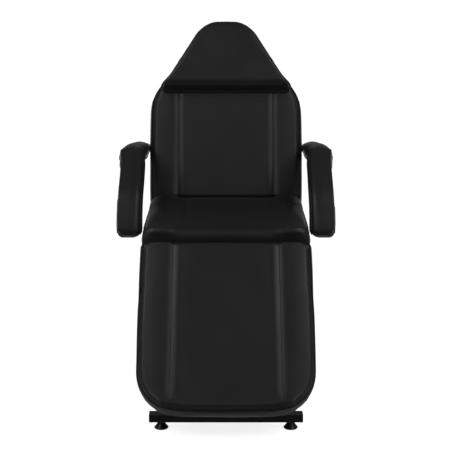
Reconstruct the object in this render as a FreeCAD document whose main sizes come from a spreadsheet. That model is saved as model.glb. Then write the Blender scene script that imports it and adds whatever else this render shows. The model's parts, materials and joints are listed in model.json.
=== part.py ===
import FreeCAD
import Part
import Sketcher

import math
import os
import re

# Beauty chair, modelled as photographed: lift down, backrest up, legrest lowered.
# Millimetres, +Z up, front towards -Y, origin on the floor under the middle of the chair.

doc = FreeCAD.newDocument("beauty_chair")
sizes = doc.addObject("Spreadsheet::Sheet", "Sizes")

DIMENSIONS = {
    # Seat
    "seat_front": -135.6, "seat_length": 474, "seat_top": 595, "seat_thickness": 70, "cushion_width": 586,
    "seat_bolster_rise": 18, "seat_edge_radius": 34, "seat_corner_radius": 16,
    # Sewing shared by the three cushions
    "channel_spacing": 350, "channel_width": 16, "channel_depth": 5, "side_swell": 5, "seam_inset": 7,
    "panel_crown": 3, "seam_drop": 9, "bolster_least": 14, "joint_edge_radius": 8, "joint_corner_radius": 6,
    # Boards and welded tubes
    "board_thickness": 12, "board_inset": 20, "tube_size": 25, "tube_wall": 2, "frame_spacing": 400,
    "seat_tube_inset": 25, "seat_tube_length": 420, "seat_board_front_inset": 15, "seat_board_rear_inset": 39,
    "cross_tube_spacing": 135,
    # Hinges
    "shaft_radius": 7, "eye_radius": 12, "plate_thickness": 6, "side_gap": 0.5, "running_gap": 0.06,
    "plate_lap": 60,
    # Backrest
    "recline_angle": 18, "back_hinge_behind": 37, "back_hinge_drop": 30, "back_front": 35, "back_gap": 14,
    "back_length": 703, "back_thickness": 75, "back_bolster_rise": 4, "back_edge_radius": 26,
    "shoulder_height": 425, "neck_height": 517, "neck_width": 438,
    "head_width": 186, "head_corner_radius": 44, "outline_blend": 46,
    "back_tube_start": 30, "back_tube_length": 400, "back_cross_low": 60, "back_cross_high": 380,
    "back_board_start": 34,
    # Head pillow
    "pillow_start": 446, "pillow_thickness": 54, "pillow_top_thickness": 20, "pillow_inset": 11,
    "pillow_edge_radius": 34, "strip_thickness": 2, "strip_length": 120, "strip_width": 24,
    "strip_spacing": 110, "soft_gap": 0.4,
    # Legrest
    "leg_angle": 45, "leg_hinge_ahead": 12, "leg_hinge_drop": 93, "leg_front": 95, "leg_gap": -4,
    "leg_length": 615, "leg_thickness": 65, "leg_bolster_rise": 5, "leg_edge_radius": 24,
    "leg_corner_radius": 138, "leg_end_width": 576, "leg_tube_start": 25, "leg_tube_length": 495,
    "leg_cross_low": 400, "leg_board_start": 22, "leg_board_end_inset": 45,
    # Armrests
    "axle_height": 242, "axle_radius": 8, "collar_radius": 10, "arm_gap": 2.5, "arm_depth": 56,
    "arm_inner_edge": 30, "arm_width": 92, "arm_hump_width": 104, "arm_lift": -14, "arm_rear": 34,
    "arm_straight": 276, "arm_slope": 6, "knuckle_radius": 60, "knuckle_angle": 38, "arm_fall": 180,
    "elbow_radius": 180, "elbow_angle": 38, "arm_drop": 54, "arm_dome": 16, "arm_end_radius": 20,
    "bush_radius": 13, "bush_length": 62, "core_width": 30, "core_depth": 8, "core_length": 100,
    # Floor frame and feet
    "bar_front": -471.6, "base_length": 970, "bar_overhang": 36.5, "bar_depth": 40, "bar_height": 25,
    "foot_height": 26, "foot_spacing": 422, "foot_radius": 23, "foot_rim": 7, "foot_bevel": 2.3,
    "foot_neck_radius": 11, "stud_radius": 5, "stud_top": 44, "nut_flats": 17, "nut_height": 6,
    "cap_thickness": 3, "cap_depth": 15,
    "rail_spacing": 220, "plate_width": 260, "plate_length": 230, "base_plate": 8,
    "bolt_radius": 5, "bolt_inset": 22, "bolt_head_radius": 9, "bolt_head_height": 6, "bolt_reach": 8,
    # Lift
    "column_place": 104.4, "column_size": 106, "column_wall": 3, "column_top": 455, "sleeve_size": 122,
    "sleeve_wall": 3, "sleeve_bottom": 196, "top_plate_size": 180, "top_plate": 8,
    "glide_gap": 0.3, "glide_width": 60, "glide_height": 40, "glide_drop": 5,
    "jack_radius": 38, "jack_bore": 28, "jack_top": 350, "jack_floor": 12, "gland_height": 16,
    "ram_radius": 18, "ram_bottom": 75, "piston_height": 25,
    # Pump and pedal
    "pump_width": 60, "pump_depth": 62, "pump_height": 68, "pump_boss_radius": 8, "pump_ear": 10,
    "pump_ear_gap": 11, "pedal_pin_height": 154, "pedal_pin_inset": 14, "pedal_pin_radius": 5,
    "plunger_radius": 8, "plunger_inset": 14, "plunger_bottom": 84, "plunger_bore_floor": 74,
    "plunger_gap": 0.5,
    "lever_width": 20, "lever_depth": 12, "lever_length": 330, "lever_eye_radius": 10,
    "pad_width": 100, "pad_length": 76, "pad_depth": 13, "pad_groove": 4, "pad_groove_depth": 3,
    # Gas springs
    "spring_offset": 110, "anchor_drop_back": 38, "anchor_drop_leg": 48, "anchor_width": 24,
    "anchor_plate": 5, "spring_eye_width": 12, "spring_eye_radius": 10, "spring_pin_radius": 5,
    "spring_radius": 11, "rod_radius": 5,
    "back_spring_length": 212, "leg_spring_length": 258, "spring_neck": 14, "bore_floor": 16,
    "back_rod_length": 244, "leg_rod_length": 330, "clevis_gap": 1, "clevis_plate": 5, "clevis_width": 24,
    "back_lever_drop": 45, "back_lever_depth": 75, "leg_lever_reach": 110, "leg_lever_depth": 20,
    "clevis_bolt_radius": 7, "clevis_bolt_height": 5, "rod_eye_reach": 8,
    # Release levers
    "release_place": 79.4, "release_drop": 15, "release_radius": 5, "release_inner": 45, "release_outer": 55,
    "release_hub_radius": 8, "release_hub_width": 14, "release_pin_radius": 4, "release_cheek": 4,
    "grip_radius": 9, "grip_length": 62, "grip_lap": 38,
    # Shared overrun of every cut
    "overrun": 3,
}
for row, (name, value) in enumerate(DIMENSIONS.items(), 1):
    sizes.set(f"A{row}", name)
    sizes.set(f"B{row}", str(value))
    sizes.setAlias(f"B{row}", name)
doc.recompute()

PIECES = []
WORD = re.compile(r"[a-z_]+")


def formula(text):
    """An expression of the sheet, with each dimension's name tied to its cell."""
    return WORD.sub(lambda word: f"Sizes.{word[0]}" if word[0] in DIMENSIONS else word[0], str(text))


def measure(text):
    """The present value of an expression."""
    return float(sizes.evalExpression(formula(text)))


# Places that several pieces share
HALF = "cushion_width / 2"
SEAT_REAR = "(seat_front + seat_length)"
CUSHION_BASE = "(seat_top - seat_thickness)"
FRAME_TOP = f"({CUSHION_BASE} - board_thickness)"
FRAME_BASE = f"({FRAME_TOP} - tube_size)"
TUBE_OUTER = "(frame_spacing / 2 + tube_size / 2)"
EAR_INNER = f"({TUBE_OUTER} + plate_thickness + side_gap)"
SIDE_TUBE = f"({EAR_INNER} + plate_thickness)"
BACK_HINGE = ("0", f"({SEAT_REAR} + back_hinge_behind)", "(seat_top - back_hinge_drop)")
LEG_HINGE = ("0", "(seat_front - leg_hinge_ahead)", "(seat_top - leg_hinge_drop)")
BACK_BASE = "(back_front - back_thickness)"
BACK_FRAME = f"({BACK_BASE} - board_thickness - tube_size)"
LEG_BASE = "(leg_front - leg_thickness)"
LEG_FRAME = f"({LEG_BASE} - board_thickness - tube_size)"
BAR_TOP = "(foot_height + bar_height)"
BAR_HALF = "(foot_spacing / 2 + bar_overhang)"
PLATE_TOP = f"({BAR_TOP} + base_plate)"
AXLE_DEPTH = f"({BACK_FRAME} + tube_size / 2)"
CROSS_FRONT = "(column_place - cross_tube_spacing / 2)"
CROSS_REAR = "(column_place + cross_tube_spacing / 2)"


def on_back(along, out):
    """Depth and height of a point of the backrest, in the chair's frame."""
    return (f"({BACK_HINGE[1]} + ({along}) * sin(recline_angle) - ({out}) * cos(recline_angle))",
            f"({BACK_HINGE[2]} + ({along}) * cos(recline_angle) + ({out}) * sin(recline_angle))")


def on_leg(along, out):
    """Depth and height of a point of the legrest, in the chair's frame."""
    return (f"({LEG_HINGE[1]} - ({along}) * sin(leg_angle) - ({out}) * cos(leg_angle))",
            f"({LEG_HINGE[2]} - ({along}) * cos(leg_angle) + ({out}) * sin(leg_angle))")


def bind(item, **formulas):
    for name, text in formulas.items():
        item.setExpression(name, formula(text))


def put(item, place, turn=None, axis=(1, 0, 0)):
    """Bind an object's place, and its turn about an axis, to the sheet."""
    if turn is not None:
        item.Placement = FreeCAD.Placement(FreeCAD.Vector(), FreeCAD.Rotation(FreeCAD.Vector(*axis), 1))
        item.setExpression("Placement.Rotation.Angle", formula(turn))
    for letter, text in zip("xyz", place):
        item.setExpression(f"Placement.Base.{letter}", formula(text))
    return item


def box(size, corner):
    block = doc.addObject("Part::Box", "Block")
    bind(block, Length=size[0], Width=size[1], Height=size[2])
    return put(block, corner)


TURNS = {"X": ("90", (0, 1, 0)), "Y": ("90", (-1, 0, 0)), "Z": (None, (0, 0, 1))}


def rod(axis, radius, length, start):
    bar = doc.addObject("Part::Cylinder", "Rod")
    bind(bar, Radius=radius, Height=length)
    return put(bar, start, *TURNS[axis])


def cut(base, *tools):
    result = doc.addObject("Part::Cut", "Cut")
    result.Base = base
    result.Tool = tools[0] if len(tools) == 1 else group(*tools)
    return result


def fuse(*members):
    result = doc.addObject("Part::MultiFuse", "Weld")
    result.Shapes = list(members)
    return result


def group(*members):
    result = doc.addObject("Part::Compound", "Group")
    result.Links = list(members)
    return result


def shape(solid):
    """A solid made with Part's own functions from the sheet's values."""
    item = doc.addObject("Part::Feature", "Form")
    item.Shape = solid
    return item


def outline(sketch, points):
    """Draw a closed outline whose corners are bound to the sheet."""
    corners = [FreeCAD.Vector(measure(x), measure(y), 0) for x, y in points]
    lines = [sketch.addGeometry(Part.LineSegment(start, end))
             for start, end in zip(corners, corners[1:] + corners[:1])]
    for line, follower in zip(lines, lines[1:] + lines[:1]):
        sketch.addConstraint(Sketcher.Constraint("Coincident", line, 2, follower, 1))
    for line, corner, texts in zip(lines, corners, points):
        for kind, value, text in zip(("DistanceX", "DistanceY"), corner, texts):
            number = sketch.addConstraint(Sketcher.Constraint(kind, -1, 1, line, 1, value))
            sketch.renameConstraint(number, f"{kind}{line}")
            sketch.setExpression(f"Constraints.{kind}{line}", formula(text))


def plate(plane, points, thickness, place):
    """A flat plate padded from a sketch whose corners are bound to the sheet."""
    body = doc.addObject("PartDesign::Body", "Plate")
    sketch = body.newObject("Sketcher::SketchObject", "Outline")
    support = next(item for item in body.Origin.OriginFeatures if item.Role == plane)
    sketch.AttachmentSupport = [(support, "")]
    sketch.MapMode = "FlatFace"
    outline(sketch, points)
    pad = body.newObject("PartDesign::Pad", "Sheet")
    pad.Profile = sketch
    bind(pad, Length=thickness)
    return put(body, place)


def square_tube(axis, length, corner, across="tube_size", high="tube_size"):
    """A square tube, open at both ends."""
    along_x = axis == "X"
    outer = (length, across, high) if along_x else (across, length, high)
    inner = [f"{text} - 2 * tube_wall" for text in outer]
    start = [f"{text} + tube_wall" for text in corner]
    run = 0 if along_x else 1
    inner[run] = f"{length} + 2 * overrun"
    start[run] = f"{corner[run]} - overrun"
    return cut(box(outer, corner), box(inner, start))


def pair(make):
    """The same piece on the left and on the right."""
    return group(make(-1), make(1))


def side(sign, inner, width):
    """Lower X of something that stands off the middle plane on one side."""
    return f"{inner}" if sign > 0 else f"-({inner}) - ({width})"


def keep(item, label, place=None, turn=None):
    item.Label = label
    if place:
        put(item, place, turn)
    PIECES.append(item)
    return item


BACK_TURN = "90 - recline_angle"
LEG_TURN = "90 - leg_angle"


# Cushions: ruled lofts through sections of lines and arcs, each cushion lying flat


def arc(start, middle, end):
    return Part.Arc(start, middle, end).toShape()


def cushion_section(along, half, low, high, rise, drop):
    """Section of a cushion: flat base, swelling sides, bolsters, sewn channels and a crowned middle."""
    swell, inset = measure("side_swell"), measure("seam_inset")
    groove, depth = measure("channel_width / 2"), measure("channel_depth")
    crown = measure("panel_crown")
    channel = min(measure("channel_spacing / 2"), half - inset - groove - measure("bolster_least"))
    seam = max(high - drop, low + (high - low) * SEAM_LEAST_SHARE)

    def point(x, z):
        return FreeCAD.Vector(x, along, z)

    def right(x, z):
        return point(x, z), point(-x, z)

    foot = right(half - swell, low)
    bulge = right(half, (low + seam) / 2)
    edge = right(half - inset, seam)
    bolster = right((half - inset + channel + groove) / 2, high + rise)
    outer = right(channel + groove, high + rise / 2)
    valley = right(channel, high - depth)
    inner = right(channel - groove, high)
    edges = [
        Part.LineSegment(foot[1], foot[0]).toShape(),
        arc(foot[0], bulge[0], edge[0]),
        arc(edge[0], bolster[0], outer[0]),
        arc(outer[0], valley[0], inner[0]),
        arc(inner[0], point(0, high + crown), inner[1]),
        arc(inner[1], valley[1], outer[1]),
        arc(outer[1], bolster[1], edge[1]),
        arc(edge[1], bulge[1], foot[1]),
    ]
    return Part.Wire(edges)


END_SHARES = (0.04, 0.16, 0.4, 0.7, 1)
BEND_SHARES = (-1, -0.3, 0.3, 1)
SEAM_LEAST_SHARE = 1 / 3


def rounding(radius, distance):
    """How far a rounded edge lies inside its corner, at a distance from the end."""
    reach = min(max(radius - distance, 0), radius)
    return radius - math.sqrt(radius ** 2 - reach ** 2)


def cushion(start, end, half_at, low, high, rise, edges, corners, extra=()):
    """A cushion between two ends, with rounded upper edges and rounded corners in plan."""
    (near_edge, far_edge), (near_corner, far_corner) = edges, corners
    stations = {start, end, *extra}
    for share in END_SHARES:
        stations |= {start + share * max(near_edge, near_corner), end - share * max(far_edge, far_corner)}
    sections = []
    for along in sorted(stations):
        from_start, from_end = along - start, end - along
        half = half_at(along) - rounding(near_corner, from_start) - rounding(far_corner, from_end)
        top = high - rounding(near_edge, from_start) - rounding(far_edge, from_end)
        sections.append(cushion_section(along, half, low, top, rise, measure("seam_drop")))
    return Part.makeLoft(sections, True, True)


def ramp(distance, blend):
    """A bend of slope 1 that starts softly."""
    if distance <= -blend:
        return 0
    return distance if distance >= blend else (distance + blend) ** 2 / (4 * blend)


def back_half(along):
    """Half width of the backrest: straight sides, shoulders, then a narrowing head."""
    half, neck, head = measure(HALF), measure("neck_width / 2"), measure("head_width / 2")
    shoulder, throat = measure("shoulder_height"), measure("neck_height")
    top, blend = measure("back_gap + back_length"), measure("outline_blend")
    first = (half - neck) / (throat - shoulder)
    second = (neck - head) / (top - throat)
    return half - first * ramp(along - shoulder, blend) + (first - second) * ramp(along - throat, blend)


def seat_cushion():
    form = cushion(measure("seat_front"), measure(SEAT_REAR), lambda along: measure(HALF),
                   measure(CUSHION_BASE), measure("seat_top"), measure("seat_bolster_rise"),
                   (measure("seat_edge_radius"), measure("joint_edge_radius")),
                   (measure("seat_corner_radius"), measure("joint_corner_radius")))
    keep(shape(form), "seat_cushion")


def back_cushion():
    start, end = measure("back_gap"), measure("back_gap + back_length")
    shoulder, throat, blend = measure("shoulder_height"), measure("neck_height"), measure("outline_blend")
    bends = [place + share * blend for place in (shoulder, throat) for share in BEND_SHARES]
    form = cushion(start, end, back_half, measure(BACK_BASE), measure("back_front"),
                   measure("back_bolster_rise"),
                   (measure("joint_edge_radius"), measure("back_edge_radius")),
                   (measure("joint_corner_radius"), measure("head_corner_radius")), bends)
    keep(shape(form), "back_cushion", BACK_HINGE, BACK_TURN)


def leg_cushion():
    start, end = measure("-leg_gap - leg_length"), measure("-leg_gap")
    near, far = measure("leg_end_width / 2"), measure(HALF)
    form = cushion(start, end, lambda along: near + (far - near) * (along - start) / (end - start),
                   measure(LEG_BASE), measure("leg_front"), measure("leg_bolster_rise"),
                   (measure("leg_edge_radius"), measure("joint_edge_radius")),
                   (measure("leg_corner_radius"), measure("joint_corner_radius")))
    keep(shape(form), "leg_cushion", LEG_HINGE, LEG_TURN)


PILLOW_SHARES = (0, 0.006, 0.022, 0.05, 0.085, 0.126, 0.35, 0.6, 0.82, 0.93, 0.985, 1)
PILLOW_WALL_SHARE = 0.35
PILLOW_SEAM_SHARE = 0.6


def head_pillow():
    """A wedge pad over the head end, thick at its lower edge, on two hook-and-loop strips."""
    start, end = measure("pillow_start"), measure("back_gap + back_length")
    base = measure("back_front + panel_crown + soft_gap + strip_thickness")
    radius = measure("pillow_edge_radius")
    sections = []
    for share in PILLOW_SHARES:
        along = start + share * (end - start)
        half = back_half(along) - measure("pillow_inset")
        half -= rounding(measure("head_corner_radius"), end - along) + rounding(radius, along - start)
        full = measure("pillow_thickness") * (1 - share) + measure("pillow_top_thickness") * share
        tall = full - rounding(radius, along - start)
        tall -= rounding(measure("pillow_top_thickness / 2"), end - along)
        inset = measure("seam_inset")

        def point(x, z):
            return FreeCAD.Vector(x, along, z)

        seam = base + PILLOW_SEAM_SHARE * tall
        wall = base + PILLOW_WALL_SHARE * tall
        sections.append(Part.Wire([
            Part.LineSegment(point(inset - half, base), point(half - inset, base)).toShape(),
            arc(point(half - inset, base), point(half, wall), point(half - inset, seam)),
            arc(point(half - inset, seam), point(0, base + tall), point(inset - half, seam)),
            arc(point(inset - half, seam), point(-half, wall), point(inset - half, base)),
        ]))
    keep(shape(Part.makeLoft(sections, True, True)), "head_pillow", BACK_HINGE, BACK_TURN)
    strips = [box(("strip_length", "strip_width", "strip_thickness"),
                  ("-strip_length / 2", f"pillow_start + pillow_edge_radius * 2 + {row} * strip_spacing",
                   "back_front + panel_crown + soft_gap")) for row in range(2)]
    keep(group(*strips), "pillow_strips", BACK_HINGE, BACK_TURN)


def seat_frame():
    length, start = "seat_tube_length", "seat_front + seat_tube_inset"
    keep(pair(lambda sign: square_tube("Y", length, (side(sign, f"{TUBE_OUTER} - tube_size", "tube_size"),
                                                     start, FRAME_BASE))), "seat_side_tubes")
    span = "(frame_spacing - tube_size)"
    rows = (start, f"{CROSS_FRONT} - tube_size / 2", f"{CROSS_REAR} - tube_size / 2")
    keep(group(*[square_tube("X", span, (f"-{span} / 2", row, FRAME_BASE)) for row in rows]),
         "seat_cross_tubes")
    keep(box(("cushion_width - 2 * board_inset",
              "seat_length - seat_board_front_inset - seat_board_rear_inset", "board_thickness"),
             (f"board_inset - {HALF}", "seat_front + seat_board_front_inset", FRAME_TOP)), "seat_board")


def hinge_plates():
    """Plates on the outer faces of the seat tubes, with the two hinge shafts that tie them together."""
    hole = "shaft_radius + running_gap"
    tube_end = "(seat_front + seat_tube_inset + seat_tube_length)"
    tube_start = "(seat_front + seat_tube_inset)"

    def drilled(sign, points, eye):
        inner = side(sign, TUBE_OUTER, "plate_thickness")
        flat = plate("YZ_Plane", points, "plate_thickness", (inner, "0", "0"))
        boss = rod("X", "eye_radius", "plate_thickness", (inner, *eye[1:]))
        bore = rod("X", hole, "plate_thickness + 2 * overrun", (f"{inner} - overrun", *eye[1:]))
        return cut(fuse(flat, boss), bore)

    rise = f"({BACK_HINGE[1]} - eye_radius)"
    back_points = [(f"{tube_end} - plate_lap", FRAME_BASE), (f"{BACK_HINGE[1]} + eye_radius", FRAME_BASE),
                   (f"{BACK_HINGE[1]} + eye_radius", BACK_HINGE[2]), (rise, BACK_HINGE[2]),
                   (rise, CUSHION_BASE), (f"{SEAT_REAR} + side_swell", FRAME_TOP),
                   (f"{tube_end} - plate_lap", FRAME_TOP)]
    keep(pair(lambda sign: drilled(sign, back_points, BACK_HINGE)), "seat_hinge_plates")
    leg_points = [(LEG_HINGE[1], f"{LEG_HINGE[2]} - eye_radius"),
                  (f"{tube_start} + plate_lap", f"{LEG_HINGE[2]} - eye_radius"),
                  (f"{tube_start} + plate_lap", FRAME_TOP), (LEG_HINGE[1], FRAME_TOP)]
    keep(pair(lambda sign: drilled(sign, leg_points, LEG_HINGE)), "seat_hinge_lugs")
    shafts = {"back_hinge_shaft": BACK_HINGE, "leg_hinge_shaft": LEG_HINGE}
    for label, eye in shafts.items():
        keep(rod("X", "shaft_radius", f"2 * ({SIDE_TUBE})", (f"-({SIDE_TUBE})", *eye[1:])), label)


def hinge_ear(sign, points):
    """An ear of a moving frame, on the inner face of its side tube, bored for the hinge shaft."""
    inner = side(sign, EAR_INNER, "plate_thickness")
    flat = plate("YZ_Plane", points, "plate_thickness", (inner, "0", "0"))
    boss = rod("X", "eye_radius", "plate_thickness", (inner, "0", "0"))
    bore = rod("X", "shaft_radius + running_gap", "plate_thickness + 2 * overrun",
               (f"{inner} - overrun", "0", "0"))
    return cut(fuse(flat, boss), bore)


def back_frame():
    """Backrest frame, lying flat with the hinge axis at its origin."""

    def side_tube(sign):
        start = side(sign, SIDE_TUBE, "tube_size")
        bore = rod("X", "collar_radius", "tube_size + 2 * overrun",
                   (f"{start} - overrun", "axle_height", AXLE_DEPTH))
        return cut(square_tube("Y", "back_tube_length", (start, "back_tube_start", BACK_FRAME)), bore)

    keep(pair(side_tube), "back_side_tubes", BACK_HINGE, BACK_TURN)
    span = f"(2 * ({SIDE_TUBE}))"
    rows = ("back_cross_low", "back_cross_high")
    keep(group(*[square_tube("X", span, (f"-{span} / 2", row, BACK_FRAME)) for row in rows]),
         "back_cross_tubes", BACK_HINGE, BACK_TURN)
    points = [("-eye_radius", BACK_FRAME), ("back_cross_low", BACK_FRAME),
              ("back_cross_low", f"{BACK_FRAME} + tube_size"), ("eye_radius", f"{BACK_FRAME} + tube_size"),
              ("eye_radius", "0"), ("-eye_radius", "0")]
    keep(pair(lambda sign: hinge_ear(sign, points)), "back_hinge_ears", BACK_HINGE, BACK_TURN)
    half, neck, head = f"{HALF} - board_inset", "neck_width / 2 - board_inset", "head_width / 2 - board_inset"
    top = "back_gap + back_length - board_inset"
    right = [(half, "back_board_start"), (half, "shoulder_height"), (neck, "neck_height"), (head, top)]
    left = [(f"-({x})", y) for x, y in reversed(right)]
    board = plate("XY_Plane", right + left, "board_thickness", ("0", "0", f"{BACK_BASE} - board_thickness"))
    keep(group(board), "back_board", BACK_HINGE, BACK_TURN)


def armrest_axles():
    """Stub axles through the backrest's side tubes, each with a collar up to its armrest."""
    inner = f"({SIDE_TUBE})"
    face = f"({HALF} + arm_gap)"

    def axle(sign):
        collar = f"({face} - {inner} - side_gap)"
        length = f"({face} - {inner} + bush_length - overrun)"
        return fuse(rod("X", "collar_radius", collar, (side(sign, inner, collar), "axle_height", AXLE_DEPTH)),
                    rod("X", "axle_radius", length, (side(sign, inner, length), "axle_height", AXLE_DEPTH)))

    keep(pair(axle), "armrest_axles", BACK_HINGE, BACK_TURN)


def leg_frame():
    """Legrest frame, raised flat with the hinge axis at its origin and its foot end towards -Y."""
    start = "-leg_tube_start - leg_tube_length"
    keep(pair(lambda sign: square_tube("Y", "leg_tube_length",
                                       (side(sign, SIDE_TUBE, "tube_size"), start, LEG_FRAME))),
         "leg_side_tubes", LEG_HINGE, LEG_TURN)
    span = f"(2 * ({SIDE_TUBE}))"
    rows = ("-leg_lever_reach - tube_size / 2", "-leg_cross_low")
    keep(group(*[square_tube("X", span, (f"-{span} / 2", row, LEG_FRAME)) for row in rows]),
         "leg_cross_tubes", LEG_HINGE, LEG_TURN)
    points = [("-leg_tube_start - plate_lap", LEG_FRAME), ("0", LEG_FRAME), ("0", "eye_radius"),
              ("-leg_tube_start - plate_lap", "eye_radius")]
    keep(pair(lambda sign: hinge_ear(sign, points)), "leg_hinge_ears", LEG_HINGE, LEG_TURN)
    half, end = "leg_end_width / 2 - board_inset", "-leg_gap - leg_length + leg_board_end_inset"
    near = "leg_end_width / 2 - board_inset - leg_corner_radius / 2"
    right = [(near, end), (half, f"{end} + leg_corner_radius / 2"), (half, "-leg_board_start")]
    left = [(f"-({x})", y) for x, y in reversed(right)]
    board = plate("XY_Plane", right + left, "board_thickness", ("0", "0", f"{LEG_BASE} - board_thickness"))
    keep(group(board), "leg_board", LEG_HINGE, LEG_TURN)


ARM_PIVOT = on_back("axle_height", AXLE_DEPTH)
ARM_BEND_STEPS = 6
# Shares of each straight run with the depth and the hump there, from the rear end to the front end
ARM_TOP_SHARES = ((0, 1, 0.7), (0.5, 1, 0.95))
ARM_FALL_SHARES = ((0.35, 1, 0.12), (0.7, 1, 0))
ARM_DROP_SHARES = ((0.3, 1, 0), (0.56, 1, 0), (0.8, 0.97, 0), (0.94, 0.85, 0), (1, 0.6, 0))
ARM_REAR_SHARE = 0.55
KNUCKLE_HUMP_SHARE = 0.6


def arm_path():
    """Stations along an armrest: place, downward angle, distance from the front end, depth and hump."""
    angle, radius = -measure("arm_slope"), measure("arm_end_radius")
    lift, rear, drop = measure("arm_lift"), measure("arm_rear"), measure("arm_drop")

    def ahead(distance):
        down = math.radians(angle)
        return [place[0] - distance * math.cos(down), place[1] - distance * math.sin(down)]

    def above(distance):
        down = math.radians(angle)
        return [place[0] - distance * math.sin(down), place[1] + distance * math.cos(down)]

    place = [0, 0]
    place = above(lift)
    yield ahead(-rear), angle, radius, ARM_REAR_SHARE, 0
    runs = (("arm_straight", ARM_TOP_SHARES, "knuckle", (1, KNUCKLE_HUMP_SHARE)),
            ("arm_fall", ARM_FALL_SHARES, "elbow", (0, 0)))
    for run, stations, bend, (first, last) in runs:
        for share, size, bulge in stations:
            yield ahead(share * measure(run)), angle, radius, size, bulge
        place = ahead(measure(run))
        start, turn = angle, measure(f"{bend}_angle")
        centre = above(-measure(f"{bend}_radius"))
        for step in range(ARM_BEND_STEPS + 1):
            share = step / ARM_BEND_STEPS
            angle, place = start + share * turn, centre
            place = above(measure(f"{bend}_radius"))
            yield place, angle, radius, 1, first + (last - first) * share
    for share, size, bulge in ARM_DROP_SHARES:
        yield ahead(share * drop), angle, drop * (1 - share), size, bulge


ARM_CORNER_SHARE = 0.12
ARM_WALL_SHARE = 0.3


def armrest(sign, label):
    """A drooping padded armrest with its steel core, whose bush turns on the backrest's axle."""
    inner = f"({HALF} + arm_gap)"
    face, width, hump = measure(inner), measure("arm_width"), measure("arm_hump_width")
    depth, dome, edge = measure("arm_depth"), measure("arm_dome"), measure("arm_inner_edge")
    sections = []
    for place, angle, ahead, size, bulge in arm_path():
        down = math.radians(angle)
        out = (-math.sin(down), math.cos(down))
        inset = rounding(measure("arm_end_radius"), ahead)
        broad = width + (hump - width) * bulge - 2 * inset
        tall, slack = depth * size / 2, broad * ARM_CORNER_SHARE

        def point(across, high):
            aside = sign * (face + inset + across)
            return FreeCAD.Vector(aside, place[0] + out[0] * high, place[1] + out[1] * high)

        heel, toe = point(slack, -tall), point(broad - slack, -tall)
        ridge, brow = point(broad - slack / 2, tall / 2), point(0, edge * size)
        sections.append(Part.Wire([
            Part.LineSegment(heel, toe).toShape(),
            arc(toe, point(broad, -tall * ARM_WALL_SHARE), ridge),
            arc(ridge, point(broad / 2, tall + dome * size), brow),
            arc(brow, point(slack * ARM_WALL_SHARE, 0), heel),
        ]))
    pad = shape(Part.makeLoft(sections, True, True))
    start = side(sign, inner, "bush_length")
    bar_start = side(sign, f"{inner} + bush_length - core_width", "core_width")

    def core():
        bush = rod("X", "bush_radius", "bush_length", (start, "0", "0"))
        bar = box(("core_width", "core_length", "core_depth"), (bar_start, "-core_length", "-core_depth / 2"))
        return fuse(bush, bar)

    bore = rod("X", "axle_radius + running_gap", "bush_length + 2 * overrun",
               (f"{start} - overrun", "0", "0"))
    pivot = ("0", *ARM_PIVOT)
    keep(cut(pad, core()), f"armrest_{label}_pad", pivot)
    keep(cut(core(), bore), f"armrest_{label}_core", pivot)


FOOT_ROWS = {"front": "(bar_front + bar_depth / 2)", "rear": "(bar_front + base_length - bar_depth / 2)"}


def floor_frame():
    """Two crossbars on levelling feet, joined by two rails that carry the column plate."""
    for row, middle in FOOT_ROWS.items():
        corner = (f"-{BAR_HALF}", f"{middle} - bar_depth / 2", "foot_height")
        bar = square_tube("X", f"2 * {BAR_HALF}", corner, "bar_depth", "bar_height")
        holes = [rod("Z", "stud_radius + running_gap", "tube_wall + 2 * overrun",
                     (f"{sign} * foot_spacing / 2", middle, "foot_height - overrun")) for sign in (-1, 1)]
        keep(cut(bar, *holes), f"{row}_crossbar")
    rail_start = "(bar_front + bar_depth)"
    rail_length = "(base_length - 2 * bar_depth)"

    def rail(sign):
        corner = (f"{sign} * rail_spacing / 2 - bar_depth / 2", rail_start, "foot_height")
        bar = square_tube("Y", rail_length, corner, "bar_depth", "bar_height")
        return cut(bar, *[bolt_hole(sign, row) for row in (-1, 1)])

    keep(pair(rail), "side_rails")
    caps = []
    for sign in (-1, 1):
        for middle in FOOT_ROWS.values():
            front = f"{middle} - bar_depth / 2"
            face = box(("cap_thickness", "bar_depth", "bar_height"),
                       (side(sign, BAR_HALF, "cap_thickness"), front, "foot_height"))
            plug = box(("cap_depth", "bar_depth - 2 * tube_wall", "bar_height - 2 * tube_wall"),
                       (side(sign, f"{BAR_HALF} - cap_depth", "cap_depth"),
                        f"{front} + tube_wall", "foot_height + tube_wall"))
            caps.append(fuse(face, plug))
    keep(group(*caps), "crossbar_caps")
    slab = box(("plate_width", "plate_length", "base_plate"),
               ("-plate_width / 2", "column_place - plate_length / 2", BAR_TOP))
    spots = [(sign, row) for sign in (-1, 1) for row in (-1, 1)]
    keep(cut(slab, *[bolt_hole(*spot) for spot in spots]), "column_plate")
    bolts = []
    for spot in spots:
        shank = rod("Z", "bolt_radius", "base_plate + bolt_reach",
                    bolt_place(*spot, f"{BAR_TOP} - bolt_reach"))
        head = rod("Z", "bolt_head_radius", "bolt_head_height", bolt_place(*spot, PLATE_TOP))
        bolts.append(fuse(shank, head))
    keep(group(*bolts), "plate_bolts")


def bolt_place(sign, row, height):
    return (f"{sign} * rail_spacing / 2", f"column_place + {row} * (plate_length / 2 - bolt_inset)", height)


def bolt_hole(sign, row):
    return rod("Z", "bolt_radius", "base_plate + bolt_reach + overrun",
               bolt_place(sign, row, f"{BAR_TOP} - bolt_reach"))


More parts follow.
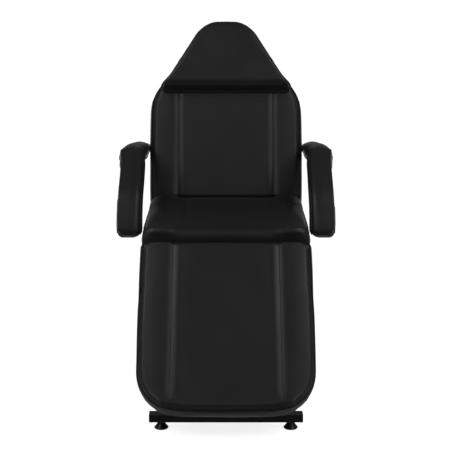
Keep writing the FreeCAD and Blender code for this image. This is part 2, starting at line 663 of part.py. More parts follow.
def levelling_foot(label, sign, middle):
    """A bell-shaped pad moulded on its threaded stud, turned about its own axis."""
    body = doc.addObject("PartDesign::Body", "Foot")
    sketch = body.newObject("Sketcher::SketchObject", "Profile")
    support = next(item for item in body.Origin.OriginFeatures if item.Role == "XZ_Plane")
    sketch.AttachmentSupport = [(support, "")]
    sketch.MapMode = "FlatFace"
    shoulder = "(foot_height - nut_height)"
    points = [("0", "0"), ("foot_radius - foot_bevel", "0"), ("foot_radius", "foot_bevel"),
              ("foot_radius", "foot_rim - foot_bevel"), ("foot_radius - foot_bevel", "foot_rim"),
              ("foot_neck_radius", shoulder), ("stud_radius", shoulder), ("stud_radius", "stud_top"),
              ("0", "stud_top")]
    outline(sketch, points)
    turned = body.newObject("PartDesign::Revolution", "Turned")
    turned.Profile = sketch
    turned.ReferenceAxis = (sketch, ["V_Axis"])
    keep(put(body, (f"{sign} * foot_spacing / 2", middle, "0")), label)


def feet():
    for row, middle in FOOT_ROWS.items():
        for sign, hand in ((-1, "left"), (1, "right")):
            levelling_foot(f"{row}_{hand}_foot", sign, middle)
    nuts = []
    for middle in FOOT_ROWS.values():
        for sign in (-1, 1):
            place = (f"{sign} * foot_spacing / 2", middle, "foot_height - nut_height")
            nut = doc.addObject("Part::Prism", "Nut")
            nut.Polygon = 6
            bind(nut, Circumradius="nut_flats / sqrt(3)", Height="nut_height")
            put(nut, place)
            hole = rod("Z", "stud_radius + running_gap", "nut_height + 2 * overrun",
                       (*place[:2], f"{place[2]} - overrun"))
            nuts.append(cut(nut, hole))
    keep(group(*nuts), "foot_locknuts")


def column():
    """Square column on the floor frame, with the hydraulic jack inside."""
    size, bore = "column_size", "(column_size - 2 * column_wall)"
    tall = f"(column_top - {PLATE_TOP})"
    corner = (f"-{size} / 2", f"column_place - {size} / 2", PLATE_TOP)
    inner = (f"-{bore} / 2", f"column_place - {bore} / 2", f"{PLATE_TOP} - overrun")
    port = rod("Y", "pump_boss_radius + running_gap", "column_wall + 2 * overrun",
               ("0", f"column_place + {bore} / 2 - overrun", PORT_HEIGHT))
    tube = cut(box((size, size, tall), corner), box((bore, bore, f"{tall} + 2 * overrun"), inner))
    keep(cut(tube, port), "base_column")
    thick = "((sleeve_size - 2 * sleeve_wall - column_size) / 2 - glide_gap)"
    low = "column_top - glide_drop - glide_height"
    glides = []
    for sign in (-1, 1):
        glides.append(box((thick, "glide_width", "glide_height"),
                          (side(sign, f"{size} / 2", thick), "column_place - glide_width / 2", low)))
        front = f"column_place + {size} / 2" if sign > 0 else f"column_place - {size} / 2 - {thick}"
        glides.append(box(("glide_width", thick, "glide_height"), ("-glide_width / 2", front, low)))
    keep(group(*glides), "column_glides")
    axis = ("0", "column_place")
    barrel = rod("Z", "jack_radius", f"jack_top - {PLATE_TOP}", (*axis, PLATE_TOP))
    hollow = rod("Z", "jack_bore", "jack_top", (*axis, f"{PLATE_TOP} + jack_floor"))
    keep(cut(barrel, hollow), "jack_cylinder")
    ring = rod("Z", "jack_radius", "gland_height", (*axis, "jack_top"))
    bore = rod("Z", "ram_radius + running_gap", "gland_height + 2 * overrun", (*axis, "jack_top - overrun"))
    keep(cut(ring, bore), "jack_gland")


PORT_HEIGHT = f"({PLATE_TOP} + pump_height / 2)"
PUMP_FRONT = "(column_place + column_size / 2)"
PIN_PLACE = f"({PUMP_FRONT} + pedal_pin_inset)"
PLUNGER_PLACE = f"({PUMP_FRONT} + pump_depth - plunger_inset)"
LEVER_BASE = "(pedal_pin_height - lever_depth / 2)"
GROOVE_SHARES = (0.2, 0.4, 0.6, 0.8)


def pump():
    """Pump block behind the column, its plunger and the foot pedal that presses it."""
    block = box(("pump_width", "pump_depth", "pump_height"), ("-pump_width / 2", PUMP_FRONT, PLATE_TOP))
    boss = rod("Y", "pump_boss_radius", "column_size / 2 - jack_radius",
               ("0", "column_place + jack_radius", PORT_HEIGHT))
    ear_base = f"({PLATE_TOP} + pump_height)"
    ears = [box(("pump_ear", "2 * pedal_pin_inset", f"pedal_pin_height + 2 * pedal_pin_radius - {ear_base}"),
                (side(sign, "pump_ear_gap", "pump_ear"), PUMP_FRONT, ear_base)) for sign in (-1, 1)]
    bore = rod("Z", "plunger_radius + running_gap", "pump_height", ("0", PLUNGER_PLACE, "plunger_bore_floor"))
    pin_half = "(pump_ear_gap + pump_ear)"
    pin_hole = rod("X", "pedal_pin_radius", f"2 * {pin_half} + 2 * overrun",
                   (f"-{pin_half} - overrun", PIN_PLACE, "pedal_pin_height"))
    keep(cut(fuse(block, boss, *ears), group(bore, pin_hole)), "pump_block")
    keep(rod("X", "pedal_pin_radius", f"2 * {pin_half}", (f"-{pin_half}", PIN_PLACE, "pedal_pin_height")),
         "pedal_pin")
    keep(rod("Z", "plunger_radius", f"{LEVER_BASE} - plunger_gap - plunger_bottom",
             ("0", PLUNGER_PLACE, "plunger_bottom")), "pump_plunger")
    bar = box(("lever_width", "lever_length", "lever_depth"), ("-lever_width / 2", PIN_PLACE, LEVER_BASE))
    eye = rod("X", "lever_eye_radius", "lever_width", ("-lever_width / 2", PIN_PLACE, "pedal_pin_height"))
    hole = rod("X", "pedal_pin_radius + running_gap", "lever_width + 2 * overrun",
               ("-lever_width / 2 - overrun", PIN_PLACE, "pedal_pin_height"))
    keep(cut(fuse(bar, eye), hole), "pedal_lever")
    pad_start = f"({PIN_PLACE} + lever_length - pad_length)"
    pad_base = f"({LEVER_BASE} + lever_depth)"
    slab = box(("pad_width", "pad_length", "pad_depth"), ("-pad_width / 2", pad_start, pad_base))
    grooves = [box(("pad_width + 2 * overrun", "pad_groove", "pad_groove_depth + overrun"),
                   ("-pad_width / 2 - overrun", f"{pad_start} + pad_length * {share} - pad_groove / 2",
                    f"{pad_base} + pad_depth - pad_groove_depth")) for share in GROOVE_SHARES]
    keep(cut(slab, *grooves), "pedal_pad")


def lift():
    """Sleeve that slides on the column, with its top plate under the seat frame, and the jack's ram."""
    size, bore = "sleeve_size", "(sleeve_size - 2 * sleeve_wall)"
    top = f"({FRAME_BASE} - top_plate)"
    tall = f"({top} - sleeve_bottom)"
    outer = box((size, size, tall), (f"-{size} / 2", f"column_place - {size} / 2", "sleeve_bottom"))
    inner = box((bore, bore, f"{tall} + overrun"),
                (f"-{bore} / 2", f"column_place - {bore} / 2", "sleeve_bottom - overrun"))
    slab = box(("top_plate_size", "top_plate_size", "top_plate"),
               ("-top_plate_size / 2", "column_place - top_plate_size / 2", top))
    keep(fuse(cut(outer, inner), slab), "lift_sleeve")
    stem = rod("Z", "ram_radius", f"{top} - ram_bottom", ("0", "column_place", "ram_bottom"))
    piston = rod("Z", "jack_bore - running_gap", "piston_height", ("0", "column_place", "ram_bottom"))
    keep(fuse(stem, piston), "jack_ram")


SPRINGS = {
    "back": {"side": "spring_offset", "foot": (CROSS_FRONT, f"({FRAME_BASE} - anchor_drop_back)"),
             "head": on_back("-back_lever_drop", "-back_lever_depth"), "way": 1},
    "leg": {"side": "-spring_offset", "foot": (CROSS_REAR, f"({FRAME_BASE} - anchor_drop_leg)"),
            "head": on_leg("leg_lever_reach", "-leg_lever_depth"), "way": -1},
}


def gas_spring(name, side_place, foot, head, way):
    """A gas spring from its anchor under the seat to the lever of the section that it holds."""
    run, climb = f"({head[0]} - {foot[0]})", f"({head[1]} - {foot[1]})"
    length = f"sqrt({run} * {run} + {climb} * {climb})"
    turn = f"atan({climb} / {run})"
    body_length = f"{name}_spring_length"
    half = "spring_eye_width / 2"
    eye = rod("X", "spring_eye_radius", "spring_eye_width", (f"-{half}", "0", "0"))
    neck = box(("spring_eye_width", "spring_neck", "spring_eye_width"),
               (f"-{half}", "0" if way > 0 else "-spring_neck", f"-{half}"))
    start = "spring_neck" if way > 0 else f"-spring_neck - {body_length}"
    barrel = rod("Y", "spring_radius", body_length, ("0", start, "0"))
    hole = rod("X", "spring_pin_radius + running_gap", "spring_eye_width + 2 * overrun",
               (f"-{half} - overrun", "0", "0"))
    bore_start = "spring_neck + bore_floor" if way > 0 else f"-spring_neck - {body_length} - overrun"
    bore = rod("Y", "rod_radius + running_gap", f"{body_length} - bore_floor + overrun",
               ("0", bore_start, "0"))
    place = (side_place, *foot)
    keep(cut(fuse(eye, neck, barrel), group(hole, bore)), f"{name}_spring_cylinder", place, turn)
    rod_length = f"{name}_rod_length"
    tip = f"{length} - rod_eye_reach - {rod_length}" if way > 0 else f"rod_eye_reach - {length}"
    middle = length if way > 0 else f"-{length}"
    rod_eye = rod("X", "spring_eye_radius", "spring_eye_width", (f"-{half}", middle, "0"))
    rod_hole = rod("X", "spring_pin_radius", "spring_eye_width + 2 * overrun",
                   (f"-{half} - overrun", middle, "0"))
    stem = rod("Y", "rod_radius", rod_length, ("0", tip, "0"))
    keep(cut(fuse(stem, rod_eye), rod_hole), f"{name}_spring_rod", place, turn)


def spring_anchors():
    plates, pins = [], []
    for spring in SPRINGS.values():
        middle, (along, high) = spring["side"], spring["foot"]
        half = "(spring_eye_width / 2 + side_gap)"
        reach = f"({half} + anchor_plate)"
        for sign in (-1, 1):
            cheek = box(("anchor_plate", "anchor_width", f"{FRAME_BASE} - {high} + anchor_width / 2"),
                        (f"{middle} + ({side(sign, half, 'anchor_plate')})", f"{along} - anchor_width / 2",
                         f"{high} - anchor_width / 2"))
            hole = rod("X", "spring_pin_radius", "4 * anchor_plate + spring_eye_width",
                       (f"{middle} - 2 * anchor_plate - spring_eye_width / 2", along, high))
            plates.append(cut(cheek, hole))
        pins.append(rod("X", "spring_pin_radius", f"2 * {reach}", (f"{middle} - {reach}", along, high)))
    keep(group(*plates), "spring_anchors")
    keep(group(*pins), "spring_anchor_pins")


def clevis(middle, cheek_size, cheek_corner, eye):
    """Two cheeks with bolt heads, on either side of a gas spring's rod eye."""
    half = "(spring_eye_width / 2 + clevis_gap)"
    parts = []
    for sign in (-1, 1):
        cheek = box(("clevis_plate", *cheek_size),
                    (f"{middle} + ({side(sign, half, 'clevis_plate')})", *cheek_corner))
        head = rod("X", "clevis_bolt_radius", "clevis_bolt_height",
                   (f"{middle} + ({side(sign, f'{half} + clevis_plate', 'clevis_bolt_height')})", *eye))
        parts.append(fuse(cheek, head))
    return group(*parts)


def clevises():
    back = clevis("spring_offset", ("back_cross_low + back_lever_drop + clevis_width / 2", "clevis_width"),
                  ("-back_lever_drop - clevis_width / 2", "-back_lever_depth - clevis_width / 2"),
                  ("-back_lever_drop", "-back_lever_depth"))
    keep(back, "back_spring_clevis", BACK_HINGE, BACK_TURN)
    leg = clevis("-spring_offset", ("clevis_width", f"leg_lever_depth + {LEG_FRAME} + clevis_width / 2"),
                 ("-leg_lever_reach - clevis_width / 2", "-leg_lever_depth - clevis_width / 2"),
                 ("-leg_lever_reach", "-leg_lever_depth"))
    keep(leg, "leg_spring_clevis", LEG_HINGE, LEG_TURN)


def release_levers():
    """Two hand levers under the seat tubes that free the gas springs, one on each side."""
    high = f"({FRAME_BASE} - release_drop)"
    hub_start = "release_place - release_hub_width / 2"
    cheeks = []
    for sign, name in ((1, "recline"), (-1, "legrest")):
        pivot = f"{sign} * frame_spacing / 2"
        long = "release_inner + release_outer"
        bar = rod("X", "release_radius", long,
                  (f"{pivot} - ({'release_inner' if sign > 0 else 'release_outer'})", "release_place", high))
        hub = rod("Y", "release_hub_radius", "release_hub_width", (pivot, hub_start, high))
        hole = rod("Y", "release_pin_radius + running_gap", "release_hub_width + 2 * overrun",
                   (pivot, f"{hub_start} - overrun", high))
        keep(cut(fuse(bar, hub), hole), f"{name}_lever")
        sleeve = f"({pivot} + {sign} * (release_outer - grip_lap))"
        grip_start = sleeve if sign > 0 else f"{sleeve} - grip_length"
        bore_start = f"{sleeve} - overrun" if sign > 0 else f"{sleeve} - grip_lap"
        keep(cut(rod("X", "grip_radius", "grip_length", (grip_start, "release_place", high)),
                 rod("X", "release_radius", "grip_lap + overrun", (bore_start, "release_place", high))),
             f"{name}_lever_grip")
        wide = "2 * release_hub_radius"
        walls = [box((wide, "release_cheek", f"{FRAME_BASE} - {high} + release_hub_radius"),
                     (f"{pivot} - release_hub_radius", start, f"{high} - release_hub_radius"))
                 for start in (f"{hub_start} - side_gap - release_cheek",
                               f"{hub_start} + release_hub_width + side_gap")]
        pin = rod("Y", "release_pin_radius", "release_hub_width + 2 * side_gap + 2 * release_cheek",
                  (pivot, f"{hub_start} - side_gap - release_cheek", high))
        cheeks.append(fuse(*walls, pin))
    keep(group(*cheeks), "lever_brackets")


def export():
    """Check every object, then write each piece to its own file."""
    doc.recompute()
    failed = [item.Name for item in doc.Objects if {"Invalid", "Error"} & set(item.State)]
    broken = [item.Label for item in PIECES if item.Shape.isNull() or not item.Shape.isValid()]
    if failed or broken:
        raise RuntimeError(f"failed objects {failed}, broken pieces {broken}")
    os.makedirs("parts", exist_ok=True)
    for item in PIECES:
        item.Shape.exportStep(f"parts/{item.Label}.step")


floor_frame()
feet()
column()
pump()
lift()
seat_frame()
hinge_plates()
seat_cushion()
back_frame()
back_cushion()
armrest_axles()
head_pillow()
leg_frame()
leg_cushion()
armrest(-1, "left")
armrest(1, "right")
spring_anchors()
clevises()
for title, spring in SPRINGS.items():
    gas_spring(title, spring["side"], spring["foot"], spring["head"], spring["way"])
release_levers()
export()
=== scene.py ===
import json
import math

import bpy
import numpy as np
from mathutils import Matrix, Vector, noise
from mathutils.kdtree import KDTree


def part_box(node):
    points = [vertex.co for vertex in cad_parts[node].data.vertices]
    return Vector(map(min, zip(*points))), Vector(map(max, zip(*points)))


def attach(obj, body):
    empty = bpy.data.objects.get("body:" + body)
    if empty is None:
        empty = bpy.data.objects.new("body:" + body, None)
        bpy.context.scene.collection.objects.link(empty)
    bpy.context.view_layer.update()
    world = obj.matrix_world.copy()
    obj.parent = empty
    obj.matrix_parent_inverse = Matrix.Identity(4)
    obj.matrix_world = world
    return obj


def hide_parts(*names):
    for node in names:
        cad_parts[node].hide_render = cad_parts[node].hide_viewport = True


# Beauty chair in black leatherette, dressed over its solids. Metres, +Z up, front towards -Y.

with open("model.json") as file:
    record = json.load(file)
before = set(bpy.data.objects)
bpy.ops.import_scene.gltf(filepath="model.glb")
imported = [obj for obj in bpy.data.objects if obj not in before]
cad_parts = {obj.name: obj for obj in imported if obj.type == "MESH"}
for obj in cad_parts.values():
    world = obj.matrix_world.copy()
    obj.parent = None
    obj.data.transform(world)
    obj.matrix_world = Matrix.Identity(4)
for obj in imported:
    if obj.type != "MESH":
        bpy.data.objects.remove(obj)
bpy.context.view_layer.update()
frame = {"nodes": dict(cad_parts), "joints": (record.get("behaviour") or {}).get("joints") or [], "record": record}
NODES = frame["nodes"]
JOINTS = {joint["name"]: joint for joint in frame["joints"]}


# Handling of meshes


def choose(*pieces):
    """Leave only these objects selected, the last one active."""
    bpy.ops.object.select_all(action="DESELECT")
    for piece in pieces:
        piece.select_set(True)
        bpy.context.view_layer.objects.active = piece


def modify(piece, kind, **settings):
    """Add a modifier with these settings and apply it."""
    choose(piece)
    modifier = piece.modifiers.new(kind.title(), kind)
    for name, value in settings.items():
        setattr(modifier, name, value)
    bpy.ops.object.modifier_apply(modifier=modifier.name)


def points(piece):
    """Places of a piece's points, one to a row."""
    flat = np.empty(len(piece.data.vertices) * 3)
    piece.data.vertices.foreach_get("co", flat)
    return flat.reshape(-1, 3)


def move_points(piece, places):
    """Put a piece's points at these places."""
    piece.data.vertices.foreach_set("co", places.ravel())
    piece.data.update()


def normals(piece):
    """Outward directions of a piece's points, one to a row."""
    flat = np.empty(len(piece.data.vertices) * 3)
    piece.data.vertex_normals.foreach_get("vector", flat)
    return flat.reshape(-1, 3)


# Finishes: node materials, with shader maths written as Python expressions


class Wire:
    """A node's output. Arithmetic on it adds Math nodes."""

    def __init__(self, finish, socket):
        self.finish, self.socket = finish, socket

    def maths(self, operation, *terms):
        """A Math node over these terms."""
        return self.finish.add("Math", {"operation": operation}, *terms)

    def __add__(self, other):
        return self.maths("ADD", self, other)

    def __mul__(self, other):
        return self.maths("MULTIPLY", self, other)

    def __rsub__(self, other):
        return self.maths("SUBTRACT", other, self)

    __radd__, __rmul__ = __add__, __mul__


class Shading:
    """A node tree around one shader."""

    def __init__(self, owner, shader, **uniform):
        owner.use_nodes = True
        self.tree = owner.node_tree
        self.shader = self.tree.nodes[shader]
        self.set(**uniform)

    def add(self, kind, settings=None, *values, output=0, **named):
        """Any node: its settings first, then the values or wires of its sockets."""
        node = self.tree.nodes.new(f"ShaderNode{kind}")
        for name, value in (settings or {}).items():
            setattr(node, name, value)
        for key, value in [*enumerate(values), *named.items()]:
            self.feed(node.inputs[key if isinstance(key, int) else key.replace("_", " ")], value)
        return Wire(self, node.outputs[output])

    def feed(self, socket, value):
        """Link a wire to a socket, or set the socket's own value."""
        if isinstance(value, Wire):
            self.tree.links.new(value.socket, socket)
        else:
            socket.default_value = value

    def set(self, **values):
        """Values or wires for the shader's own sockets."""
        for name, value in values.items():
            self.feed(self.shader.inputs[name.replace("_", " ")], value)

    def ramp(self, value, start, end):
        """A smooth step of a wire, from nothing at the start to one at the end."""
        return self.add("MapRange", {"interpolation_type": "SMOOTHSTEP"}, value, start, end)


# Colour sockets of a Mix node
MIX_FIRST, MIX_SECOND, MIX_RESULT = 6, 7, 2


class Finish(Shading):
    """A material around one Principled shader."""

    def __init__(self, name, **uniform):
        self.material = bpy.data.materials.new(name)
        super().__init__(self.material, "Principled BSDF", **uniform)
        self.place = self.add("TexCoord", output="Object")

    def stretched(self, scale):
        """The object's own coordinates, stretched along its axes."""
        return self.add("Mapping", None, Vector=self.place, Scale=scale)

    def noise(self, scale, detail, where=None):
        """Soft, irregular patches."""
        return self.add("TexNoise", None, Vector=where or self.place, Scale=scale, Detail=detail)

    def cells(self, scale):
        """Small rounded pebbles."""
        return self.add("TexVoronoi", None, Vector=self.place, Scale=scale)

    def mix(self, share, first, second):
        """Two colours mixed by a wire."""
        mixed = self.add("Mix", {"data_type": "RGBA"}, share, output=MIX_RESULT)
        self.feed(mixed.socket.node.inputs[MIX_FIRST], first)
        self.feed(mixed.socket.node.inputs[MIX_SECOND], second)
        return mixed

    def bump(self, height, distance, strength):
        """Fine relief from a wire."""
        self.set(Normal=self.add("Bump", None, Strength=strength, Distance=distance, Height=height))


def grey(value, warm=0.0):
    """A grey, or one that is slightly warm."""
    return (value * (1 + warm), value, value * (1 - warm), 1.0)


def leatherette():
    """Soft black leatherette: fine pebble grain with pores, and a satin sheen that wanders a little."""
    finish = Finish("leatherette", Specular_IOR_Level=0.3, Sheen_Weight=0.03, Sheen_Roughness=0.4)
    pebble, pores, patches = finish.cells(620), finish.noise(1900, 3), finish.noise(7, 3)
    finish.set(Base_Color=finish.mix(patches, grey(0.004), grey(0.007)),
               Roughness=0.34 + 0.12 * patches + 0.06 * pebble)
    finish.bump(pebble * 0.7 + pores * 0.3, distance=0.00025, strength=0.35)
    return finish


def welt_leather_painted_shade():
    """The same leatherette pulled tight over a cord, and duller; its colour is painted darker, as painted shade
    along the seams, and its grain still varies it.
    """
    finish = Finish("welt_leather_painted_shade", Specular_IOR_Level=0.2)
    grain = finish.cells(900)
    finish.set(Base_Color=finish.mix(grain, grey(0.002), grey(0.005)), Roughness=0.55 + 0.1 * grain)
    finish.bump(grain, distance=0.0002, strength=0.3)
    return finish


def black_paint():
    """Satin powder coat with a slight orange peel."""
    finish = Finish("black_paint", Specular_IOR_Level=0.3)
    peel, dust = finish.noise(420, 1), finish.noise(14, 4)
    finish.set(Base_Color=finish.mix(dust, grey(0.0015), grey(0.004)), Roughness=0.3 + 0.12 * dust)
    finish.bump(peel, distance=0.0003, strength=0.25)
    return finish


def zinc_steel():
    """Zinc-plated steel, dull and slightly streaked."""
    finish = Finish("zinc_steel", Metallic=1.0)
    streak = finish.noise(60, 3, finish.stretched((0.2, 1, 6)))
    finish.set(Base_Color=finish.mix(streak, grey(0.42), grey(0.62, 0.01)), Roughness=0.26 + 0.2 * streak)
    return finish


def hard_chrome():
    """Ground and chromed rods with hair-fine rings from grinding."""
    finish = Finish("hard_chrome", Metallic=1.0)
    rings = finish.noise(900, 2, finish.stretched((0.05, 1, 1)))
    finish.set(Base_Color=finish.mix(rings, grey(0.7), grey(0.82, -0.01)), Roughness=0.05 + 0.1 * rings)
    return finish


def grey_iron():
    """Painted casting with a coarse skin."""
    finish = Finish("grey_iron", Specular_IOR_Level=0.4)
    skin, stain = finish.noise(260, 4), finish.noise(20, 3)
    finish.set(Base_Color=finish.mix(stain, grey(0.045), grey(0.075)), Roughness=0.5 + 0.2 * skin)
    finish.bump(skin, distance=0.0008, strength=0.5)
    return finish


def black_plastic():
    """Moulded plastic with a spark-eroded matt skin."""
    finish = Finish("black_plastic", Specular_IOR_Level=0.4)
    skin, wear = finish.noise(1300, 1), finish.noise(25, 3)
    finish.set(Base_Color=finish.mix(wear, grey(0.002), grey(0.005)), Roughness=0.26 + 0.14 * wear)
    finish.bump(skin, distance=0.0002, strength=0.3)
    return finish


def black_rubber():
    """Dull rubber with a bloom of dust."""
    finish = Finish("black_rubber", Specular_IOR_Level=0.25)
    bloom = finish.noise(40, 5)
    finish.set(Base_Color=finish.mix(bloom, grey(0.004), grey(0.012, 0.02)), Roughness=0.6 + 0.2 * bloom)
    finish.bump(finish.noise(1500, 2), distance=0.0002, strength=0.3)
    return finish


def plywood():
    """Black-stained plywood with its grain along the chair."""
    finish = Finish("plywood", Specular_IOR_Level=0.3)
    grain = finish.noise(26, 6, finish.stretched((9, 0.7, 9)))
    finish.set(Base_Color=finish.mix(grain, grey(0.012, 0.1), grey(0.05, 0.18)), Roughness=0.55 + 0.2 * grain)
    finish.bump(grain, distance=0.0006, strength=0.4)
    return finish


def hook_and_loop():
    """Brushed tape, all fine loops."""
    finish = Finish("hook_and_loop", Specular_IOR_Level=0.15, Sheen_Weight=0.4)
    loops = finish.noise(2600, 2)
    finish.set(Base_Color=finish.mix(loops, grey(0.004), grey(0.03)), Roughness=0.85 + 0.1 * loops)
    finish.bump(loops, distance=0.0008, strength=0.8)
    return finish


FINISHES = {make.__name__: make() for make in (
    leatherette, black_paint, zinc_steel, hard_chrome, grey_iron, black_plastic, black_rubber, plywood,
    hook_and_loop)}
# Finish of the cushions' welts: painted darker than the leatherette, as painted shade along the seams.
WELT_PAINTED_SHADE = welt_leather_painted_shade()


def coat(piece, finish):
    """Give a piece this finish alone."""
    piece.data.materials.clear()
    piece.data.materials.append(finish.material)


for part in frame["record"]["subparts"]:
    coat(NODES[part["node"]], FINISHES[part["material_slot"]])


# Cushions: each one is laid flat, filled, sewn and then put back on the chair


def laid_flat(joint):
    """Place of a hinged section, from lying flat to where it rests on the chair."""
    turn = math.radians(JOINTS[joint]["range_deg"][1])
    return Matrix.Translation(JOINTS[joint]["pos_m"]) @ Matrix.Rotation(turn, 4, "X")


SEAT, BACK, LEG = Matrix.Identity(4), laid_flat("recline"), laid_flat("legrest_raise")
WELD, SEAM_WELD = 0.00002, 0.001
UP, RIGHT, REARWARD = (0, 0, 1), (1, 0, 0), (0, 1, 0)
# Which axes count, seen along the width and from above
ACROSS, PLAN = (0, 1, 1), (1, 1, 0)
VOXEL, SMALL_VOXEL = 0.0055, 0.005
SMOOTHING, COVER_ROUNDS, SEAM_ROUNDS = 0.5, 5, 8
# Filling: how far a cover is drawn in first, its pressure, its frames, and how far it may swell
DRAWN_IN, PRESSURE, LAST_FRAME = 0.003, 4, 20
PANEL_SWELL, SMALL_SWELL = 0.006, 0.005
# Slack in a cover: how many waves to a metre, and their height
PANEL_SLACK, SMALL_SLACK = (11, 0.0008), (14, 0.001)


def bell(distance, width):
    """One on a line, falling off to nothing beside it."""
    return np.exp(-(distance / width) ** 2)


def smooth_step(value, low, high):
    """Nothing up to the low mark, one from the high mark on, and a soft rise between."""
    share = np.clip((value - low) / (high - low), 0, 1)
    return share * share * (3 - 2 * share)


def loose_copy(node, name, place):
    """A copy of a node's solid, laid flat and with its doubles merged."""
    piece = bpy.data.objects.new(name, NODES[node].data.copy())
    bpy.context.collection.objects.link(piece)
    piece.data.transform(place.inverted())
    choose(piece)
    bpy.ops.object.mode_set(mode="EDIT")
    bpy.ops.mesh.select_all(action="SELECT")
    bpy.ops.mesh.remove_doubles(threshold=WELD)
    bpy.ops.object.mode_set(mode="OBJECT")
    return piece


def remeshed(piece, voxel):
    """Make a closed piece's mesh fine and even."""
    choose(piece)
    bpy.ops.object.mode_set(mode="EDIT")
    bpy.ops.mesh.select_all(action="SELECT")
    bpy.ops.mesh.normals_make_consistent(inside=False)
    bpy.ops.object.mode_set(mode="OBJECT")
    modify(piece, "REMESH", mode="VOXEL", voxel_size=voxel)
    modify(piece, "SMOOTH", factor=SMOOTHING, iterations=COVER_ROUNDS)
    return piece


def fill(piece, held, limit):
    """Blow a cover up as its filling would, with its sewn lines and its base held still."""
    start = points(piece) - normals(piece) * DRAWN_IN * ~held[:, None]
    move_points(piece, start)
    sewn = piece.vertex_groups.new(name="sewn")
    sewn.add(np.flatnonzero(held).tolist(), 1.0, "REPLACE")
    choose(piece)
    cloth = piece.modifiers.new("Filling", "CLOTH")
    cloth.settings.use_pressure = True
    cloth.settings.uniform_pressure_force = PRESSURE
    cloth.settings.effector_weights.gravity = 0
    cloth.settings.vertex_group_mass = sewn.name
    cloth.point_cache.frame_end = LAST_FRAME
    for step in range(1, LAST_FRAME + 1):
        bpy.context.scene.frame_set(step)
    bpy.ops.object.modifier_apply(modifier=cloth.name)
    bpy.context.scene.frame_set(1)
    piece.vertex_groups.clear()
    moved = points(piece) - start
    far = np.linalg.norm(moved, axis=1, keepdims=True) + WELD
    move_points(piece, start + moved / far * limit * np.tanh(far / limit))


def seam_line(piece, name, place, heading):
    """The closed line where a plane meets a piece's surface."""
    choose(piece)
    bpy.ops.object.duplicate()
    line = bpy.context.active_object
    line.name = name
    bpy.ops.object.mode_set(mode="EDIT")
    bpy.ops.mesh.select_all(action="SELECT")
    bpy.ops.mesh.bisect(plane_co=place, plane_no=heading, clear_inner=True, clear_outer=True)
    bpy.ops.mesh.select_all(action="SELECT")
    bpy.ops.mesh.remove_doubles(threshold=SEAM_WELD)
    bpy.ops.mesh.vertices_smooth(factor=SMOOTHING, repeat=SEAM_ROUNDS)
    bpy.ops.object.mode_set(mode="OBJECT")
    return line


def trim(line, ahead):
    """Take away the stretch of a line that lies ahead of a place along the cushion."""
    choose(line)
    bpy.ops.object.mode_set(mode="EDIT")
    bpy.ops.mesh.select_all(action="SELECT")
    bpy.ops.mesh.bisect(plane_co=(0, ahead, 0), plane_no=REARWARD, clear_inner=True)
    bpy.ops.object.mode_set(mode="OBJECT")


def lookup(marks):
    """A tree for finding the nearest of some points."""
    tree = KDTree(len(marks))
    for number, mark in enumerate(marks):
        tree.insert(mark, number)
    tree.balance()
    return tree


def nearest(places, marks):
    """Distance of each point from the nearest mark."""
    tree = lookup(marks)
    return np.array([tree.find(place)[2] for place in places])


def settle(places, out, marks):
    """How far each point has to move out to lie on a profile that runs along the piece."""
    tree = lookup(marks * ACROSS)
    near = np.array([tree.find(place)[0] for place in places * ACROSS])
    return ((near - places) * out).sum(1)


def lengthwise(piece):
    """The points' normals, turned square to the piece's width."""
    out = normals(piece) * ACROSS
    return out / (np.linalg.norm(out, axis=1, keepdims=True) + WELD)


def welt(line, radius, sink):
    """Turn a seam's line into a thin round welt, sunk into its seam."""
    choose(line)
    bpy.ops.object.convert(target="CURVE")
    line.data.bevel_depth = radius
    line.data.bevel_resolution = WELT_STEPS
    bpy.ops.object.convert(target="MESH")
    places = points(line)
    places[:, 2] -= sink
    move_points(line, places)
    return line


def press(piece, line, depth, width):
    """Draw a cover in along a seam."""
    places = points(piece)
    inward = depth * bell(nearest(places, points(line)), width)
    move_points(piece, places - normals(piece) * inward[:, None])


def dress(piece, body, slot, place, finish=None):
    """Put a finished piece where it belongs, with its finish."""
    piece.data.transform(place)
    coat(piece, finish or FINISHES[slot])
    choose(piece)
    bpy.ops.object.shade_smooth()
    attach(piece, body)


# Each panel: its height in its section's own frame
SEAT_TOP, BACK_TOP, LEG_TOP = 0.595, 0.035, 0.095
# Each welt: its drop below the panel at the front or foot, and its rise from there on
SEAM, LEG_SEAM = (0.009, 0), (0.017, 0.014)
SEAM_DEPTH, SEAM_WIDTH = 0.0035, 0.0045
WELT_RADIUS, WELT_SINK, WELT_STEPS = 0.0019, 0.0004, 2
# What counts as facing out of a panel, and how near to its welt it is held while it fills, in voxels
CREASE_FACE, HELD_BAND = (0.25, 0.8), 0.6
# Grooves of the solids: distance from the middle, half width and rim of what bridges them, and their fade
CHANNEL, BRIDGE, BRIDGE_BAND, FADE = 0.175, 0.03, 0.003, 0.06
# Each pair of sewn channels: distance from the middle, width of a slope, depth, share of its stitched crease,
# and the two distances from its end between which it fades in
LEG_CHANNEL = (0.177, 0.021, 0.004, 0.06, (0.034, 0.056))
BACK_CHANNEL = (0.1815, 0.025, 0.0048, 0.3, (0, FADE))
SEAT_CHANNEL = (0.178, 0.024, 0.0008, 0.3, (0, FADE))
STITCH_WIDTH, VALLEY_POWER = 0.0028, 1.7
BACK_SPAN, LEG_SPAN = (-FADE, 0.49), (-0.6, 0.06)
# Foot corners of the legrest: radius, steps and curve round each, ease at its ends, and how far in it reaches
LEG_CORNER, CORNER_STEPS, CORNER_CURVE, CORNER_EASE, CORNER_RIM = 0.138, 36, 3, 0.12, (0.6, 0.95)
# Filling of the grooves: what faces up enough, the steepest wall, and the most that is filled
FILLED_FACE, SIDE_WALL, GROOVE = (-0.1, 0.35), 0.75, 0.014
# Panels: width of the roll beside the seam, crown, and how far they are stretched flat
PANEL_ROLL, PANEL_CROWN, FLATNESS = (0.004, 0.022), 0.002, 0.65
